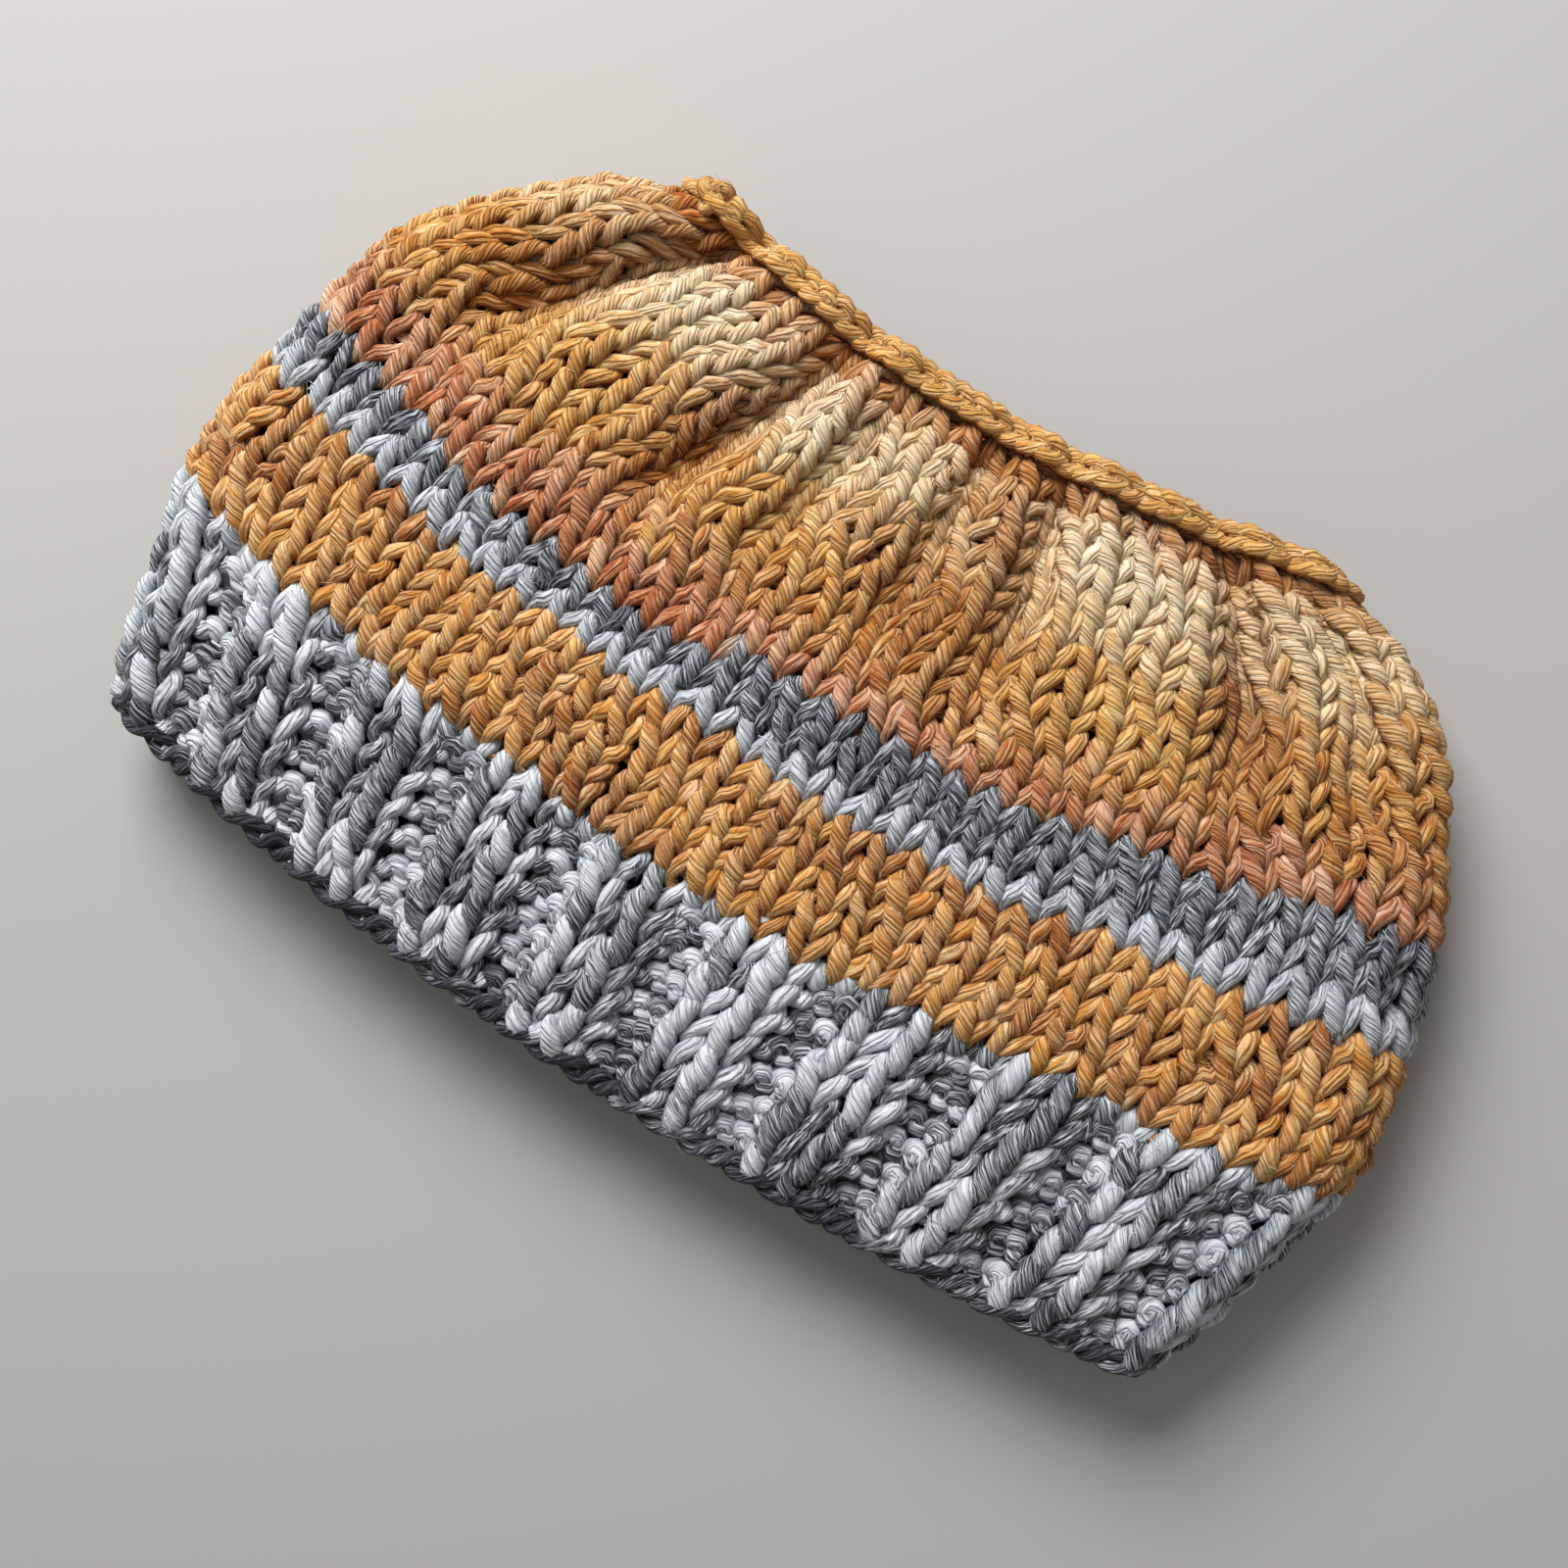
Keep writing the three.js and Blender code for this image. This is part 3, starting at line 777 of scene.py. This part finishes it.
STRIPE_FOOT = BAND_FOOT + BAND_ROWS
STRIPE_LIGHT = linear("c8cdd3")
STRIPE_DARK = linear("39383d")
LIGHT_ROW_SHARES = (0.26, 0.16, 1)
DARK_ROW_SHARES = (0.49, 0.14, 1)
CORAL = linear("af6b43")
CORAL_LIGHT = linear("e3bf9d")
CORAL_LIGHT_SHARES = (0.18, 0.50, 1.3)
CORAL_ROW = CROWN_FOOT - 1
CORAL_FROM, CORAL_TO, CORAL_CHANGE = 0.278, 0.75, 0.01


def coral(row, share, length):
    """Coral with paler pink fibres."""
    pale = fleck_share(*CORAL_LIGHT_SHARES, yarn_noise(length, row, reach=6.5, row_step=29, seed=32))
    return np.broadcast_to(CORAL, (len(length), 3)), with_share(CORAL_LIGHT, pale)


def grey(row, share, length):
    """Light in the first row and dark above, with heathered fibres, and coral in part of the last row."""
    shares = LIGHT_ROW_SHARES if row == STRIPE_FOOT else DARK_ROW_SHARES
    dark = fleck_share(*shares, yarn_noise(length, row, reach=16, row_step=67, seed=31))
    wool, fleck = np.broadcast_to(STRIPE_LIGHT, (len(length), 3)), with_share(STRIPE_DARK, dark)
    if row == CORAL_ROW:
        place = np.mod(share, 1.0)
        changed = smooth((place - CORAL_FROM) / CORAL_CHANGE) * (place < CORAL_TO)
        coral_wool, coral_fleck = coral(row, share, length)
        wool = wool + (coral_wool - wool) * changed[:, None]
        fleck = fleck + (coral_fleck - fleck) * changed[:, None]
    return wool, fleck


stripe = knit_rows(range(STRIPE_FOOT, CROWN_FOOT), grey)
grey_wool = wool_material("grey wool", **MARLED)
mesh_piece("grey_stripe_knit", [yarn for yarn, fuzz in stripe], grey_wool, "grey_stripe")
mesh_piece("grey_stripe_fuzz", [fuzz for yarn, fuzz in stripe], grey_wool, "grey_stripe")

# Crown. Twelve rows of plain knit, a colour for each row, from coral through gold to pale tan and to a
# brown gold under the edging, darker in the last two rows partly as painted shade under the edging. Its
# columns run into creases and are gathered in to the opening.

# The last two colours of each list are darker partly as painted shade under the edging
CROWN_COLOURS = np.array([linear(code) for code in (
    "ae6a41", "b1713b", "b77b37", "b87a32", "b67731", "b97e39",
    "c49250", "cba064", "cca46c", "c9a06c", "be8c52", "b06e30",
)])
CROWN_PALE = np.array([linear(code) for code in (
    "e4c1a2", "e6c294", "e8c68a", "e8c486", "e6c182", "e8c88e",
    "e9d0a4", "e8d4ae", "e6d4b2", "e6d4b4", "e0c298", "d2a062",
)])
CROWN_PALE_SHARES = (0.16, 0.46, 1.4)
ROW_DRIFT = 2.2
# The amber is a dyed colour in some patches and painted shade beside the creases in others
DYES_AND_PAINTED_SHADE = {"cream": linear("e9dac0"), "straw": linear("dcb872"), "amber": linear("9c5e2a")}
MOST_DYE_AND_SHADE = 0.9
DYE_AND_SHADE_IN_PALE = 0.6
MOTTLE_LEAST, MOTTLE_MORE = 0.6, 0.8

# Patches in the crown's yarn: share of the way round, row, how far they reach in each, and how much of
# the cream, straw or amber they have. Most are patches that the dyer left in the yarn. The last three,
# amber on the left side of the creases at 0.430, 0.339 and 0.095, are painted shade beside the creases.
PATCH_COLUMNS = ("share", "row", "reach", "rows", "cream", "straw", "amber")
PATCHES = dict(zip(PATCH_COLUMNS, np.array([
    (0.402, 24.0, 0.028, 2.3, 0.85, 0.0, 0.0),
    (0.362, 23.8, 0.020, 2.2, 0.45, 0.0, 0.0),
    (0.316, 24.0, 0.016, 2.4, 0.80, 0.0, 0.0),
    (0.270, 23.8, 0.022, 2.4, 0.45, 0.0, 0.0),
    (0.150, 24.0, 0.042, 2.4, 0.85, 0.0, 0.0),
    (0.060, 23.5, 0.030, 2.4, 0.45, 0.0, 0.0),
    (0.395, 19.5, 0.035, 2.4, 0.0, 0.45, 0.0),
    (0.300, 19.5, 0.025, 2.4, 0.0, 0.35, 0.0),
    (0.145, 19.3, 0.040, 2.2, 0.0, 0.60, 0.0),
    (0.228, 19.2, 0.032, 2.6, 0.0, 0.0, 0.60),
    (0.212, 23.5, 0.016, 2.5, 0.0, 0.0, 0.60),
    (0.088, 19.2, 0.014, 2.8, 0.0, 0.0, 0.60),
    # Painted shade beside the creases: amber on the left side of the creases at 0.430, 0.339 and 0.095
    (0.446, 22.0, 0.018, 4.0, 0.0, 0.0, 0.60),
    (0.350, 20.5, 0.015, 4.5, 0.0, 0.0, 0.80),
    (0.104, 21.0, 0.012, 4.0, 0.0, 0.0, 0.45),
]).T))


def crown_colour(row, share, length):
    """The row's own colour and pale fibres, drifting to its neighbours' every few stitches. A bell
    curve for each patch blends in its own colour: dyed patches, and painted shade beside the creases."""
    drift = yarn_noise(length, row, reach=40, row_step=131, seed=41)
    drift = (ROW_DRIFT if row > CROWN_FOOT else 0.0) * (drift - 0.5)
    place = np.clip(row - CROWN_FOOT + drift, 0, len(CROWN_COLOURS) - 1)
    i = np.minimum(np.floor(place).astype(int), len(CROWN_COLOURS) - 2)
    step = (place - i)[:, None]
    wool = CROWN_COLOURS[i] * (1 - step) + CROWN_COLOURS[i + 1] * step
    pale = CROWN_PALE[i] * (1 - step) + CROWN_PALE[i + 1] * step
    beside = (on_upper(share)[:, None] - PATCHES["share"]) / PATCHES["reach"]
    above = (row + 0.5 - PATCHES["row"]) / PATCHES["rows"]
    mottle = MOTTLE_LEAST + MOTTLE_MORE * yarn_noise(length, row, reach=14, row_step=211, seed=43)
    strength = np.exp(-(beside ** 2 + above ** 2)) * mottle[:, None]
    for dye_and_shade, colour in DYES_AND_PAINTED_SHADE.items():
        part = np.clip((PATCHES[dye_and_shade] * strength).sum(axis=1), 0, MOST_DYE_AND_SHADE)[:, None]
        wool = wool + (colour - wool) * part
        pale = pale + (colour - pale) * DYE_AND_SHADE_IN_PALE * part
    few = fleck_share(*CROWN_PALE_SHARES, yarn_noise(length, row, reach=6.5, row_step=43, seed=42))
    return wool, np.concatenate([pale, few[:, None]], axis=1)


LOWER_ROWS = 6
crown = knit_rows(range(CROWN_FOOT, CROWN_TOP), crown_colour)
crown_yarn = [yarn for yarn, fuzz in crown]
crown_wool = wool_material("crown wool", **DYED)
mesh_piece("crown_lower_knit", crown_yarn[:LOWER_ROWS], crown_wool, "crown")
mesh_piece("crown_upper_knit", crown_yarn[LOWER_ROWS:], crown_wool, "crown")
mesh_piece("crown_fuzz", [fuzz for yarn, fuzz in crown], crown_wool, "crown")

# Bun edging. The bound-off edge is a chain of links laid on its side along the opening: in each link
# the yarn rises through the last one, runs on in one leg, turns and comes back in the other.

LINK_STEPS = 18
EDGE_YARN = 1.28
EDGE_TWIST = 0.42
EDGE_LIFT = 0.80
EDGE_OUT = 0.4
EDGE_TILT = 0.35
ROW_LENGTH = 4.0
GOLD = linear("cb9444")
GOLD_BROWN = linear("b77a31")
BROWN_FROM, BROWN_REACH = 0.4, 0.5
GOLD_LIGHT = linear("eccc94")
GOLD_LIGHT_SHARES = (0.34, 0.1, 1)

# One link: places along the edge in links, and across the chain and out from it in millimetres
LINK_COLUMNS = ("along", "spread", "depth")
LINK = dict(zip(LINK_COLUMNS, np.array([
    (0.00, 0.0, -0.8),
    (0.30, -0.9, 0.5),
    (0.95, -1.75, 0.8),
    (1.45, -1.0, 0.1),
    (1.60, 0.0, -0.2),
    (1.45, 1.0, 0.1),
    (0.95, 1.75, 0.8),
    (0.30, 1.0, 0.5),
    (0.05, 0.3, -0.6),
    (0.50, 0.0, -1.3),
]).T))


def through_points(values, advance, t):
    """Smooth curve through a repeating list of values, which goes on by advance at each repeat: cubic
    pieces whose slope at each value is half the step between its neighbours."""
    count = len(values)
    i = np.floor(t * count).astype(int)
    f = t * count - i
    a, b, c, d = (values[(i + k) % count] + advance * ((i + k) // count) for k in (-1, 0, 1, 2))
    return b + f * (c - a) / 2 + f ** 2 * (a - 2.5 * b + 2 * c - d / 2) + f ** 3 * (d - a + 3 * (b - c)) / 2


def gold(row, share, length):
    """Gold that drifts to brown, with pale fibres."""
    drift = yarn_noise(length, row, reach=12, row_step=0, seed=51)
    wool = blend(GOLD, GOLD_BROWN, smooth((drift - BROWN_FROM) / BROWN_REACH))
    pale = fleck_share(*GOLD_LIGHT_SHARES, yarn_noise(length, row, reach=5, row_step=0, seed=52))
    return wool, with_share(GOLD_LIGHT, pale)


t = np.arange(STITCHES * LINK_STEPS) / LINK_STEPS
edge_along = through_points(LINK["along"], 1.0, t) / STITCHES
spread = through_points(LINK["spread"], 0.0, t)
depth = through_points(LINK["depth"], 0.0, t)
rise = (spread * math.cos(EDGE_TILT) + depth * math.sin(EDGE_TILT)) / ROW_LENGTH
out = depth * math.cos(EDGE_TILT) - spread * math.sin(EDGE_TILT) + EDGE_OUT + EDGE_DIP
points, normals = wall_point(edge_along, CROWN_TOP + EDGE_LIFT + rise, out)
edge_radius = np.full(len(points), EDGE_YARN)
chain, chain_fuzz = spun(points, normals, edge_radius, EDGE_TWIST, gold, 0, edge_along, FIBRES_PER_MM)

# Tail of the bind-off, knotted off at the left corner of the opening: a three-lobed overhand knot

KNOT_SHARE = 0.466
KNOT_LIFT = 0.75
KNOT_OUT = 2.4
KNOT_ROUND = 1.35
KNOT_WIDTH = 0.62
KNOT_DEPTH = 0.8
KNOT_YARN = 1.2
KNOT_STEPS = 90
KNOT_FIBRES_PER_MM = 14 * FIBRES_PER_MM
KNOT_OUTWARD = (0.2, 0.1, 0.97)
t = 2 * np.pi * np.arange(KNOT_STEPS) / KNOT_STEPS
place, normals = wall_point(
    np.full(KNOT_STEPS, KNOT_SHARE), np.full(KNOT_STEPS, CROWN_TOP + KNOT_LIFT), np.full(KNOT_STEPS, KNOT_OUT)
)
points = place + KNOT_ROUND * np.stack([
    KNOT_WIDTH * (np.sin(t) + 2 * np.sin(2 * t)),
    KNOT_WIDTH * (np.cos(t) - 2 * np.cos(2 * t)),
    -KNOT_DEPTH * np.sin(3 * t),
], axis=-1)
knot, knot_fuzz = spun(
    points, np.tile(KNOT_OUTWARD, (KNOT_STEPS, 1)), np.full(KNOT_STEPS, KNOT_YARN), EDGE_TWIST, gold, 1, t,
    KNOT_FIBRES_PER_MM,
)
edging_wool = wool_material("edging wool", **DYED)
mesh_piece("bun_edging_chain", [chain], edging_wool, "bun_edging")
mesh_piece("bun_edging_knot", [knot], edging_wool, "bun_edging")
mesh_piece("bun_edging_fuzz", [chain_fuzz, knot_fuzz], edging_wool, "bun_edging")

# Pale floor that the hat lies on

FLOOR_HALF = 3.0
FLOOR_COLOUR = (0.42, 0.41, 0.39, 1)
FLOOR_ROUGHNESS = 0.8
floor_corners = [(x * FLOOR_HALF, y * FLOOR_HALF, 0) for x, y in ((-1, -1), (1, -1), (1, 1), (-1, 1))]
floor_mesh = bpy.data.meshes.new("floor")
floor_mesh.from_pydata(floor_corners, [], [(0, 1, 2, 3)])
floor = bpy.data.objects.new("floor", floor_mesh)
bpy.context.scene.collection.objects.link(floor)
floor_material = bpy.data.materials.new("pale floor")
floor_material.use_nodes = True
floor_shader = floor_material.node_tree.nodes["Principled BSDF"]
floor_shader.inputs["Base Color"].default_value = FLOOR_COLOUR
floor_shader.inputs["Roughness"].default_value = FLOOR_ROUGHNESS
floor_mesh.materials.append(floor_material)

# Soft studio light: a broad panel beyond the hat's crown and a pale surround

PANEL_PLACE = Vector((-0.44, 0.38, 0.54))
PANEL_SIZE = 0.45
PANEL_POWER = 9.6
SURROUND_COLOUR = (1.0, 0.98, 0.95, 1)
SURROUND_STRENGTH = 0.29
panel = bpy.data.objects.new("window_panel", bpy.data.lights.new("window_panel", "AREA"))
panel.data.shape = "SQUARE"
panel.data.size = PANEL_SIZE
panel.data.energy = PANEL_POWER
towards_hat = (-PANEL_PLACE).to_track_quat("-Z", "Y").to_matrix().to_4x4()
panel.matrix_world = Matrix.Translation(PANEL_PLACE) @ towards_hat
bpy.context.scene.collection.objects.link(panel)
world = bpy.data.worlds.new("surround")
world.use_nodes = True
world.node_tree.nodes["Background"].inputs["Color"].default_value = SURROUND_COLOUR
world.node_tree.nodes["Background"].inputs["Strength"].default_value = SURROUND_STRENGTH
bpy.context.scene.world = world
bpy.context.scene.view_settings.view_transform = "Standard"

# Camera: almost straight above, a little to the brim's right, turned as the hat lies in the picture

PICTURE_TURN = math.radians(32.6)
CAMERA_TILT = math.radians(5.71)
CAMERA_TOWARD = Vector((0.989, -0.145, 0))
CAMERA_DISTANCE = 0.320
CAMERA_NEAR = 0.01
SENSOR_WIDTH = 36
FOCAL_PIXELS = 2000
PICTURE_PIXELS = 1600
TARGET = Vector((0.0022, -0.0112, 0.012))
back = CAMERA_TOWARD.normalized() * math.sin(CAMERA_TILT) + Vector((0, 0, math.cos(CAMERA_TILT)))
level_right = Vector((0, 1, 0)).cross(back).normalized()
level_up = back.cross(level_right)
right = level_right * math.cos(PICTURE_TURN) + level_up * math.sin(PICTURE_TURN)
up = back.cross(right)
camera = bpy.data.objects.new("camera", bpy.data.cameras.new("camera"))
camera.data.sensor_width = SENSOR_WIDTH
camera.data.lens = SENSOR_WIDTH * FOCAL_PIXELS / PICTURE_PIXELS
camera.data.clip_start = CAMERA_NEAR
turned = Matrix((right, up, back)).transposed().to_4x4()
camera.matrix_world = Matrix.Translation(TARGET + back * CAMERA_DISTANCE) @ turned
bpy.context.scene.collection.objects.link(camera)
bpy.context.scene.camera = camera
